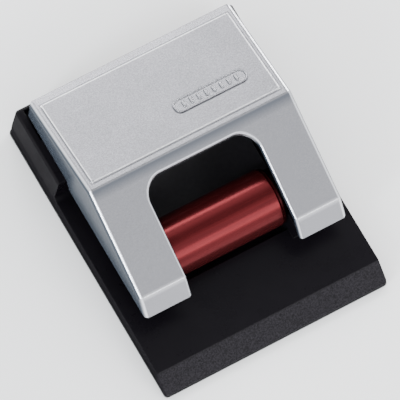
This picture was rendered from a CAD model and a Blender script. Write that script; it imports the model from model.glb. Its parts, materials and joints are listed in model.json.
import json
import math

import bpy
from mathutils import Matrix, Vector

MM = 0.001
MICRON = 0.001 * MM


def mm(*values):
    return tuple(v * MM for v in values)


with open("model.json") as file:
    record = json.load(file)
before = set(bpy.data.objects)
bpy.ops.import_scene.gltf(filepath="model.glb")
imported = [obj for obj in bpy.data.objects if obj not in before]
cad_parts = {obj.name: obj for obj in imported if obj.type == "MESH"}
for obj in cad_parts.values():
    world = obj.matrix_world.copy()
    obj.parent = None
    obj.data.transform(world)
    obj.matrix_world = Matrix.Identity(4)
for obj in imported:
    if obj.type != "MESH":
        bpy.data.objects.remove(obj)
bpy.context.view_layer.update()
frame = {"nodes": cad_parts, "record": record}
nodes = frame["nodes"]

# ---------------------------------------------------------------- camera
# Angles in degrees: turned to the left of the front, looking down, rolled.
CAM_AZ, CAM_EL, CAM_ROLL = 43.2, 69.0, 14.3
CAM_DIST = 1.98216
CAM_TARGET = Vector(mm(-1.17, -1.44, 13.5))
CAM_CLIP = (0.05, 20)
SENSOR = 36.0
FOCAL_PX = 5675.5
IMAGE_PX = 400.0


def add_camera():
    az, el, roll = (math.radians(a) for a in (CAM_AZ, CAM_EL, CAM_ROLL))
    level = math.cos(el)
    back = Vector((-math.sin(az) * level, -math.cos(az) * level, math.sin(el)))
    right = (-back).cross(Vector((0, 0, 1))).normalized()
    up = right.cross(-back)
    rolled_right = right * math.cos(roll) + up * math.sin(roll)
    rolled_up = up * math.cos(roll) - right * math.sin(roll)
    data = bpy.data.cameras.new("camera")
    data.sensor_width = SENSOR
    data.lens = FOCAL_PX * SENSOR / IMAGE_PX
    data.clip_start, data.clip_end = CAM_CLIP
    cam = bpy.data.objects.new("camera", data)
    turn = Matrix((rolled_right, rolled_up, back)).transposed().to_4x4()
    cam.matrix_world = Matrix.Translation(CAM_TARGET + back * CAM_DIST) @ turn
    bpy.context.scene.collection.objects.link(cam)
    bpy.context.scene.camera = cam


# ---------------------------------------------------------------- lights, sky and floor
WHITE = (1, 1, 1)
COOL_WHITE = (0.9, 0.95, 1.0)
# Name, place, height that it aims at over the middle, size, watts, colour.
LIGHTS = (
    ("key", (0.15, 1.05, 0.80), 0.02, (0.7, 0.45), 10.0, WHITE),
    ("front", (0.35, -1.0, 0.70), 0.01, (0.9, 0.5), 7.0, WHITE),
    ("left", (-1.0, -0.3, 0.5), 0.02, (0.12, 0.6), 10.0, COOL_WHITE),
    ("right", (1.0, 0.5, 0.4), 0.02, (0.3, 0.5), 10.0, WHITE),
)
# The sky is bright at the sides and darker round the zenith, where the direction's Z is 1.
SKY_COLOUR = (0.97, 0.985, 1.0)
SKY_FADE_Z = (0.88, 0.96)
SKY_STRENGTH = (2.0, 0.25)
FLOOR_HALF = 3.0
FLOOR_COLOUR = (0.97, 0.97, 0.97)
FLOOR_ROUGHNESS = 0.9


def add_light(name, place, aim_height, size, power, colour):
    data = bpy.data.lights.new(name, "AREA")
    data.shape = "RECTANGLE"
    data.size, data.size_y = size
    data.energy = power
    data.color = colour
    lamp = bpy.data.objects.new(name, data)
    lamp.location = place
    towards = Vector((0, 0, aim_height)) - Vector(place)
    lamp.rotation_euler = towards.to_track_quat("-Z", "Y").to_euler()
    bpy.context.scene.collection.objects.link(lamp)


def add_sky():
    world = bpy.data.worlds.new("studio")
    world.use_nodes = True
    tree = world.node_tree
    back = tree.nodes["Background"]
    back.inputs["Color"].default_value = (*SKY_COLOUR, 1)
    where = tree.nodes.new("ShaderNodeTexCoord")
    split = tree.nodes.new("ShaderNodeSeparateXYZ")
    fade = tree.nodes.new("ShaderNodeMapRange")
    fade.interpolation_type = "SMOOTHSTEP"
    for key, value in zip(("From Min", "From Max", "To Min", "To Max"), SKY_FADE_Z + SKY_STRENGTH):
        fade.inputs[key].default_value = value
    tree.links.new(where.outputs["Generated"], split.inputs[0])
    tree.links.new(split.outputs["Z"], fade.inputs["Value"])
    tree.links.new(fade.outputs["Result"], back.inputs["Strength"])
    bpy.context.scene.world = world


def add_floor():
    mesh = bpy.data.meshes.new("floor")
    s = FLOOR_HALF
    mesh.from_pydata([(-s, -s, 0), (s, -s, 0), (s, s, 0), (-s, s, 0)], [], [(0, 1, 2, 3)])
    floor = bpy.data.objects.new("floor", mesh)
    bpy.context.scene.collection.objects.link(floor)
    mat = bpy.data.materials.new("floor_pale")
    mat.use_nodes = True
    bsdf = mat.node_tree.nodes["Principled BSDF"]
    bsdf.inputs["Base Color"].default_value = (*FLOOR_COLOUR, 1)
    bsdf.inputs["Roughness"].default_value = FLOOR_ROUGHNESS
    mesh.materials.append(mat)


# ---------------------------------------------------------------- material helpers
EDGE_SAMPLES = 6


class Nodes:
    """Short names for building one node material. Lengths are in metres, on the CAD's own axes."""

    def __init__(self, name):
        self.mat = bpy.data.materials.new(name)
        self.mat.use_nodes = True
        self.tree = self.mat.node_tree
        self.bsdf = self.tree.nodes["Principled BSDF"]
        self.pos = self.tree.nodes.new("ShaderNodeTexCoord").outputs["Object"]

    def link(self, a, b):
        self.tree.links.new(a, b)

    def noise(self, scale, detail=3.0, rough=0.55, vector=None):
        n = self.tree.nodes.new("ShaderNodeTexNoise")
        n.inputs["Scale"].default_value = scale
        n.inputs["Detail"].default_value = detail
        n.inputs["Roughness"].default_value = rough
        self.link(vector or self.pos, n.inputs["Vector"])
        return n.outputs["Fac"]

    def cells(self, scale):
        n = self.tree.nodes.new("ShaderNodeTexVoronoi")
        n.inputs["Scale"].default_value = scale
        self.link(self.pos, n.inputs["Vector"])
        return n.outputs["Distance"]

    def stretch(self, *scale):
        n = self.tree.nodes.new("ShaderNodeMapping")
        n.inputs["Scale"].default_value = scale
        self.link(self.pos, n.inputs["Vector"])
        return n.outputs["Vector"]

    def part(self, vector, name):
        n = self.tree.nodes.new("ShaderNodeSeparateXYZ")
        self.link(vector, n.inputs[0])
        return n.outputs[name]

    def axis(self, name):
        return self.part(self.pos, name)

    def facing(self, name):
        """One component of the surface's normal, without any bump."""
        n = self.tree.nodes.new("ShaderNodeTexCoord")
        return self.part(n.outputs["Normal"], name)

    def sideways(self):
        """How far the surface faces left or right, 0 to 1."""
        return self.math("ABSOLUTE", self.facing("X"))

    def math(self, op, a, b=None, clamp=False):
        n = self.tree.nodes.new("ShaderNodeMath")
        n.operation = op
        n.use_clamp = clamp
        for sock, v in zip(n.inputs, (a, b)):
            if isinstance(v, (int, float)):
                sock.default_value = v
            elif v is not None:
                self.link(v, sock)
        return n.outputs[0]

    def plus(self, a, b, clamp=False):
        return self.math("ADD", a, b, clamp)

    def minus(self, a, b):
        return self.math("SUBTRACT", a, b)

    def times(self, a, b):
        return self.math("MULTIPLY", a, b)

    def spread(self, v, span, out=(0, 1)):
        """Maps the span onto the two output values and holds them outside it."""
        n = self.tree.nodes.new("ShaderNodeMapRange")
        for key, x in zip(("From Min", "From Max", "To Min", "To Max"), (*span, *out)):
            n.inputs[key].default_value = x
        self.link(v, n.inputs["Value"])
        return n.outputs["Result"]

    def band(self, v, edges):
        """Rises from 0 to 1 between the first two edges and falls to 0 between the last two."""
        return self.times(self.spread(v, edges[:2]), self.spread(v, edges[2:], (1, 0)))

    def blend(self, mask, a, b):
        n = self.tree.nodes.new("ShaderNodeMix")
        n.data_type = "RGBA"
        for sock, v in ((n.inputs["A"], a), (n.inputs["B"], b)):
            if isinstance(v, tuple):
                sock.default_value = (*v, 1)
            else:
                self.link(v, sock)
        self.link(mask, n.inputs["Factor"])
        return n.outputs["Result"]

    def tint(self, base, mask, amount, colour):
        """The base colour, with this share of another colour where the mask is 1."""
        return self.blend(self.times(mask, amount), base, colour)

    def bump(self, height, distance, strength, normal=None):
        n = self.tree.nodes.new("ShaderNodeBump")
        n.inputs["Distance"].default_value = distance
        n.inputs["Strength"].default_value = strength
        self.link(height, n.inputs["Height"])
        if normal:
            self.link(normal, n.inputs["Normal"])
        return n.outputs["Normal"]

    def edge(self, radius):
        """Normal with its sharp edges softened by a small radius."""
        n = self.tree.nodes.new("ShaderNodeBevel")
        n.samples = EDGE_SAMPLES
        n.inputs["Radius"].default_value = radius
        return n.outputs["Normal"]

    def put(self, **sockets):
        for key, v in sockets.items():
            sock = self.bsdf.inputs[key.replace("_", " ")]
            if isinstance(v, (int, float)):
                sock.default_value = v
            else:
                self.link(v, sock)
        return self.mat


# ---------------------------------------------------------------- shared by the materials
# A ..._NOISE holds repeats per metre, then detail and roughness where they aren't the usual ones.
# Where the place is stretched first, the stretch holds the repeats per metre along x, y and z.
# A ..._BUMP holds depth and strength.
# These spans are parts of a noise's 0 to 1 range. The narrower the span, the harder the pattern.
SOFT = (0.3, 0.7)
CLEAR = (0.35, 0.65)
CRISP = (0.38, 0.62)
HARD = (0.4, 0.6)
DOWN = (1, 0)


def scaled(colour, factor):
    return tuple(c * factor for c in colour)


# ---------------------------------------------------------------- silver paint
SILVER_DARK, SILVER_LIGHT = (0.18, 0.18, 0.196), (0.29, 0.29, 0.31)
FLAKE_NOISE, MOTTLE_NOISE = (9000, 2), (60, 4)
PIT_NOISE, FINE_NOISE = (2000, 2, 0.6), (2600, 2)
FINE_BUMP = (10 * MICRON, 0.35)
SILVER_EDGE_R = 0.6 * MM
SILVER_ROUGHNESS = (0.2, 0.25)
# From faces that point up or forward to faces that point sideways.
SILVER_METALLIC = (0.9, 0.15)
SILVER_SPECULAR = (0.5, 0.06)

# Tints are a share and a colour.
PIT_COLOUR = (0.07, 0.07, 0.08)
MOTTLE_TINT = (0.12, (0.17, 0.17, 0.18))
PIT_TINT = (0.2, PIT_COLOUR)
SIDE_TINT = (0.97, (0.034, 0.043, 0.056))
FRONT_TINT = (0.62, (0.36, 0.36, 0.385))
EDGE_TINT = (0.8, (0.75, 0.76, 0.8))
GROOVE_TINT = (0.45, (0.05, 0.05, 0.06))
RIM_TINT = (0.7, (0.8, 0.8, 0.82))
RIDGE_SHADE_TINT = (0.75, (0.07, 0.083, 0.105))
FOLD_TINT = (0.55, (0.62, 0.62, 0.65))
PANEL_PIT_TINT = (0.25, PIT_COLOUR)
BADGE_FLOOR_TINT = (0.15, (0.08, 0.08, 0.09))

# Spans of the normal's sideways or forward part.
SIDE_FACES = (0.5, 0.85)
FRONT_FACES = (-0.25, -0.5)
ROUNDED_EDGES = (0.2, 0.38, 0.58, 0.78)
NOT_SIDE_FACES = (0.2, 0.6)

# The cover's ridge and the tilt of its top face, as in the CAD.
RIDGE_Y, RIDGE_Z = mm(12.1, 38.9)
TOP_TILT = math.radians(12.086)
ON_TOP = -0.3 * MM

# The raised panel, with its run measured along the top face from the ridge.
PANEL_HEIGHT = 0.2 * MM
PANEL_HALF = 37.7 * MM
PANEL_RUN = mm(2.2, 38.8)
PANEL_GROOVE = mm(-0.05, 0.1, 0.45, 0.65)
PANEL_RIM = mm(-0.6, -0.4, -0.15, -0.05)
PANEL_CELLS, PANEL_NOISE = 2500, 2000
PANEL_BUMP = (40 * MICRON, 0.7)
PANEL_ROUGHER = 0.1

# The badge on the panel: middle and size in x and run.
BADGE_AT = mm(16.0, 13.8)
BADGE_SIZE = mm(29.0, 5.6)
BADGE_R = 2.4 * MM
BADGE_GROOVE = mm(-0.1, 0, 0.25, 0.45)
BADGE_FLOOR = mm(0.6, 0.7)

# Places along y: the darker band under the ridge, and the fold at the top of the feet.
RIDGE_SHADE = mm(7.6, 11.0, 11.4, 11.9)
FOOT_FOLD = mm(-27.5, -26.8, -26.3, -25.5)


def over_top(m):
    """Height over the cover's tilted top face."""
    up, back = m.minus(m.axis("Z"), RIDGE_Z), m.minus(m.axis("Y"), RIDGE_Y)
    return m.plus(m.times(up, math.cos(TOP_TILT)), m.times(back, math.sin(TOP_TILT)))


def along_top(m):
    """Distance from the ridge towards the rear, along the tilted top face."""
    up, back = m.minus(m.axis("Z"), RIDGE_Z), m.minus(m.axis("Y"), RIDGE_Y)
    return m.minus(m.times(back, math.cos(TOP_TILT)), m.times(up, math.sin(TOP_TILT)))


def panel_distance(m, run):
    """Distance outside the panel's outline, on the top face, and negative inside it."""
    across = m.minus(m.math("ABSOLUTE", m.axis("X")), PANEL_HALF)
    ahead, behind = m.minus(PANEL_RUN[0], run), m.minus(run, PANEL_RUN[1])
    return m.math("MAXIMUM", across, m.math("MAXIMUM", ahead, behind))


def badge_distance(m, run):
    """Distance outside the badge's rounded outline, on the top face."""
    squares = []
    for v, middle, size in zip((m.axis("X"), run), BADGE_AT, BADGE_SIZE):
        off = m.minus(m.math("ABSOLUTE", m.minus(v, middle)), size / 2 - BADGE_R)
        squares.append(m.math("POWER", m.math("MAXIMUM", off, 0.0), 2.0))
    return m.minus(m.math("SQRT", m.plus(*squares)), BADGE_R)


class SilverPaint(Nodes):
    """Flaked silver paint: lighter on front faces and rounded edges, bluer and duller on the sides."""

    def __init__(self, name):
        super().__init__(name)
        flake, mottle = self.noise(*FLAKE_NOISE), self.noise(*MOTTLE_NOISE)
        self.pits = self.spread(self.noise(*PIT_NOISE), CRISP, DOWN)
        self.side = self.spread(self.sideways(), SIDE_FACES)
        base = self.blend(self.spread(flake, CLEAR), SILVER_DARK, SILVER_LIGHT)
        base = self.tint(base, self.spread(mottle, HARD), *MOTTLE_TINT)
        base = self.tint(base, self.pits, *PIT_TINT)
        base = self.tint(base, self.side, *SIDE_TINT)
        base = self.tint(base, self.spread(self.facing("Y"), FRONT_FACES), *FRONT_TINT)
        self.base = self.tint(base, self.band(self.sideways(), ROUNDED_EDGES), *EDGE_TINT)
        self.normal = self.bump(self.noise(*FINE_NOISE), *FINE_BUMP, self.edge(SILVER_EDGE_R))
        self.rough = self.spread(mottle, SOFT, SILVER_ROUGHNESS)

    def finished(self):
        metal = self.spread(self.side, (0, 1), SILVER_METALLIC)
        shine = self.spread(self.side, (0, 1), SILVER_SPECULAR)
        looks = {"Base_Color": self.base, "Roughness": self.rough, "Normal": self.normal}
        return self.put(Metallic=metal, Specular_IOR_Level=shine, **looks)


def cover_silver():
    m = SilverPaint("cover_silver")
    height, run = over_top(m), along_top(m)
    out = panel_distance(m, run)
    on_top = m.math("GREATER_THAN", height, ON_TOP)
    on_panel = m.math("GREATER_THAN", height, PANEL_HEIGHT)
    groove = m.math("MAXIMUM", m.band(out, PANEL_GROOVE), m.band(badge_distance(m, run), BADGE_GROOVE))
    base = m.tint(m.base, m.times(groove, on_top), *GROOVE_TINT)
    base = m.tint(base, m.times(m.band(out, PANEL_RIM), on_top), *RIM_TINT)
    not_side = m.spread(m.sideways(), NOT_SIDE_FACES, DOWN)
    for place, tint in ((RIDGE_SHADE, RIDGE_SHADE_TINT), (FOOT_FOLD, FOLD_TINT)):
        base = m.tint(base, m.times(m.band(m.axis("Y"), place), not_side), *tint)
    m.base = m.tint(base, m.times(m.pits, on_panel), *PANEL_PIT_TINT)
    grain = m.times(m.plus(m.cells(PANEL_CELLS), m.noise(PANEL_NOISE)), on_panel)
    m.normal = m.bump(grain, *PANEL_BUMP, m.normal)
    m.rough = m.plus(m.rough, m.times(on_panel, PANEL_ROUGHER))
    return m.finished()


def emblem_silver():
    m = SilverPaint("emblem_silver")
    m.base = m.tint(m.base, m.spread(over_top(m), BADGE_FLOOR, DOWN), *BADGE_FLOOR_TINT)
    return m.finished()


# ---------------------------------------------------------------- black tray
TRAY_BLACK = (0.0037, 0.0031, 0.0044)
GRAIN_DARK, GRAIN_LIGHT = (0.0035, 0.003, 0.0042), (0.018, 0.016, 0.02)
# The grained bevel starts at this place along y, and the walls are dull up to this height.
BEVEL_START = mm(-49.2, -48.4)
DULL_FOOT = mm(7.2, 8.6)
TRAY_SIDES = (0.6, 0.95)
TRAY_NOISE, TRAY_BUMP, TRAY_EDGE_R = 700, (20 * MICRON, 0.25), 0.4 * MM
BEVEL_CELLS, BEVEL_NOISE, BEVEL_BUMP = 2100, 1700, (140 * MICRON, 0.9)
BEVEL_ROUGHER = 0.2
SPECK_NOISE, WEAR_NOISE = (1700, 3, 0.6), (90, 5, 0.7)
TRAY_ROUGHNESS = (0.24, 0.34)
# Added on the walls: above the dull foot, and at the foot.
WALL_ROUGHER = (0.3, 0.55)
TRAY_SPECULAR = (0.1, 0.03)


def tray_black():
    m = Nodes("tray_black")
    bevel = m.spread(m.axis("Y"), BEVEL_START, DOWN)
    foot = m.spread(m.axis("Z"), DULL_FOOT, DOWN)
    side = m.spread(m.sideways(), TRAY_SIDES)
    normal = m.bump(m.noise(TRAY_NOISE), *TRAY_BUMP, m.edge(TRAY_EDGE_R))
    grain = m.times(m.plus(m.cells(BEVEL_CELLS), m.noise(BEVEL_NOISE)), bevel)
    normal = m.bump(grain, *BEVEL_BUMP, normal)
    wear = m.spread(m.noise(*WEAR_NOISE), SOFT, TRAY_ROUGHNESS)
    rough = m.plus(wear, m.times(bevel, BEVEL_ROUGHER))
    dull = m.spread(foot, (0, 1), WALL_ROUGHER)
    rough = m.plus(rough, m.times(side, dull), clamp=True)
    grained = m.blend(m.spread(m.noise(*SPECK_NOISE), CRISP), GRAIN_DARK, GRAIN_LIGHT)
    base = m.blend(bevel, TRAY_BLACK, grained)
    shine = m.spread(side, (0, 1), TRAY_SPECULAR)
    return m.put(Base_Color=base, Roughness=rough, Normal=normal, Specular_IOR_Level=shine)


# ---------------------------------------------------------------- red roller
RED_DARK, RED_LIGHT = (0.084, 0.0095, 0.0115), (0.108, 0.0125, 0.0145)
STREAK_STRETCH, STREAK_NOISE, STREAK_BUMP = (25, 700, 700), (1, 3, 0.5), (2 * MICRON, 0.1)
DUST_NOISE = (500, 4)
RED_ROUGHNESS = (0.21, 0.25)
RED_METALLIC, RED_SPECULAR = 0.72, 0.2
CAP_BRIGHTNESS = 0.35


def roller_red(name, brightness):
    """Glossy red metal with fine streaks along the roller."""
    m = Nodes(name)
    streak = m.noise(*STREAK_NOISE, m.stretch(*STREAK_STRETCH))
    dark, light = scaled(RED_DARK, brightness), scaled(RED_LIGHT, brightness)
    base = m.blend(m.spread(streak, CLEAR), dark, light)
    rough = m.spread(m.noise(*DUST_NOISE), SOFT, RED_ROUGHNESS)
    looks = {"Base_Color": base, "Roughness": rough, "Normal": m.bump(streak, *STREAK_BUMP)}
    return m.put(Metallic=RED_METALLIC, Specular_IOR_Level=RED_SPECULAR, **looks)


# ---------------------------------------------------------------- other materials
PLAIN_SHADE, PLAIN_WEAR, PLAIN_BUMP_STRENGTH = 0.8, 0.06, 0.4
PLAIN_DETAIL, WEAR_SCALE = 4, 0.3
LINE_STRETCH, LINE_NOISE, LINE_BUMP = (5200, 240, 240), (1, 3, 0.6), (10 * MICRON, 0.3)
LINE_SHADE, LINE_WEAR = 0.75, 0.07


def plain(name, colour, rough, metallic=0.0, scale=600, bump=10 * MICRON):
    """One colour, slightly mottled, with a fine bump."""
    m = Nodes(name)
    mottle = m.noise(scale, PLAIN_DETAIL)
    base = m.blend(m.spread(mottle, CLEAR), scaled(colour, PLAIN_SHADE), colour)
    wear = m.spread(m.noise(scale * WEAR_SCALE), SOFT, (rough - PLAIN_WEAR, rough + PLAIN_WEAR))
    normal = m.bump(mottle, bump, PLAIN_BUMP_STRENGTH)
    return m.put(Base_Color=base, Roughness=wear, Metallic=metallic, Normal=normal)


def brushed(name, colour, rough):
    """Bare metal with fine lines round the x axis."""
    m = Nodes(name)
    lines = m.noise(*LINE_NOISE, m.stretch(*LINE_STRETCH))
    base = m.blend(m.spread(lines, SOFT), scaled(colour, LINE_SHADE), colour)
    wear = m.spread(lines, SOFT, (rough - LINE_WEAR, rough + LINE_WEAR))
    normal = m.bump(lines, *LINE_BUMP)
    return m.put(Base_Color=base, Roughness=wear, Metallic=1.0, Normal=normal)


def paint_nodes():
    looks = {
        "cover_silver": cover_silver(),
        "emblem_silver": emblem_silver(),
        "tray_black": tray_black(),
        "plate_black": plain("plate_black", (0.015, 0.015, 0.016), 0.4),
        "roller_red": roller_red("roller_red", brightness=1.0),
        "cap_red": roller_red("cap_red", brightness=CAP_BRIGHTNESS),
        "bush_brass": brushed("bush_brass", (0.55, 0.42, 0.18), 0.3),
        "core_steel": brushed("core_steel", (0.45, 0.45, 0.46), 0.3),
        "magnet_grey": plain("magnet_grey", (0.06, 0.06, 0.063), 0.6),
        "axle_steel": brushed("axle_steel", (0.5, 0.5, 0.51), 0.25),
        "clip_steel": plain("clip_steel", (0.05, 0.05, 0.052), 0.35, metallic=0.8),
        "screw_black": plain("screw_black", (0.03, 0.03, 0.031), 0.4, metallic=0.7),
        "post_black": plain("post_black", (0.014, 0.014, 0.015), 0.45),
        "scoop_black": plain("scoop_black", (0.03, 0.028, 0.033), 0.4),
        "pad_rubber": plain("pad_rubber", (0.02, 0.02, 0.02), 0.85, scale=1500, bump=40 * MICRON),
    }
    slots = {s["node"]: s["material_slot"] for s in frame["record"]["subparts"]}
    for name, obj in nodes.items():
        mesh = obj.data
        if not mesh.materials:
            mesh.materials.append(None)
        for i in range(len(mesh.materials)):
            mesh.materials[i] = looks[slots[name]]


add_camera()
add_sky()
for light in LIGHTS:
    add_light(*light)
add_floor()
paint_nodes()
